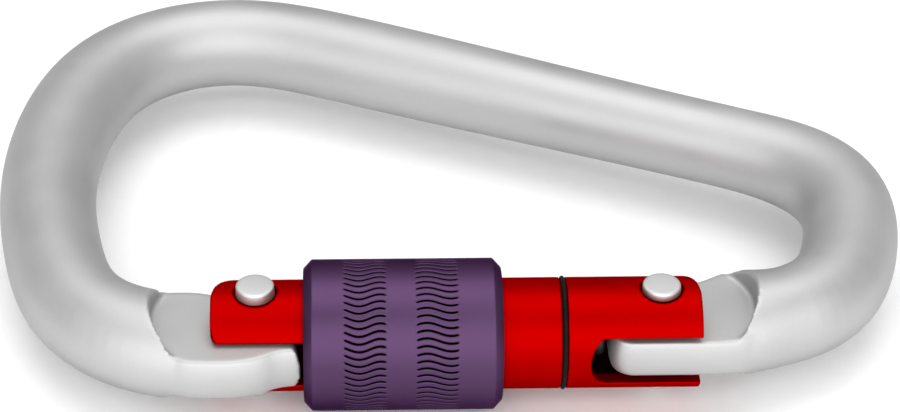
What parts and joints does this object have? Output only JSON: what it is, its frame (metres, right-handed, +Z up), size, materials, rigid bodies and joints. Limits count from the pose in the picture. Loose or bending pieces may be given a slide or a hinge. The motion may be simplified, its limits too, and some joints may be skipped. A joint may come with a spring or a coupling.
{
  "type": "locking carabiner",
  "caption": "Pear-shaped aluminium carabiner with a sprung gate on a hinge pin, locked by a knurled screw sleeve that covers the nose.",
  "frame": {"origin": "bottom centre of the box round the whole carabiner lying flat", "axes": "+X along the gate from the nose to the hinge, +Y from the gate to the spine, +Z up across the flat carabiner"},
  "size_m": [0.1142, 0.082, 0.0182],
  "materials": {
    "body_aluminium": "tumbled satin, natural",
    "gate_red": "red anodised",
    "sleeve_purple": "purple anodised, knurled",
    "pin_steel": "bright rivet",
    "spring_steel": "spring wire",
    "plunger_black": "moulded",
    "ring_black": "matt"
  },
  "bodies": {
    "frame": {"body": "body_aluminium"},
    "gate": {"gate_tube": "gate_red", "hinge_pin": "pin_steel", "latch_pin": "pin_steel", "gate_spring": "spring_steel"},
    "plunger": {"spring_plunger": "plunger_black"},
    "ring": {"stop_ring": "ring_black"},
    "sleeve": {"locking_sleeve": "sleeve_purple"}
  },
  "joints": [
    {"name": "gate_swing", "type": "hinge", "parent": "frame", "child": "gate", "pos_m": [0.02472, -0.03159, 0.0091], "axis": [0, 0, -1], "range_deg": [0, 27], "stiffness_Nm_per_rad": 0.42, "springref_deg": -28.65},
    {"name": "plunger_slide", "type": "slide", "parent": "gate", "child": "plunger", "axis": [-1, 0, 0], "range_m": [0, 0.0008], "deforming": ["gate_spring"]},
    {"name": "sleeve_turn", "type": "hinge", "parent": "gate", "child": "ring", "pos_m": [0.02472, -0.03159, 0.0091], "axis": [-1, 0, 0], "range_deg": [-1680, 720]},
    {"name": "sleeve_travel", "type": "slide", "parent": "ring", "child": "sleeve", "axis": [-1, 0, 0], "range_m": [-0.00701, 0.00301]}
  ],
  "couplings": [
    {"joint": "plunger_slide", "follows": "gate_swing", "m_per_rad": 0.0016},
    {"joint": "sleeve_travel", "follows": "sleeve_turn", "m_per_rad": 0.00023873}
  ]
}
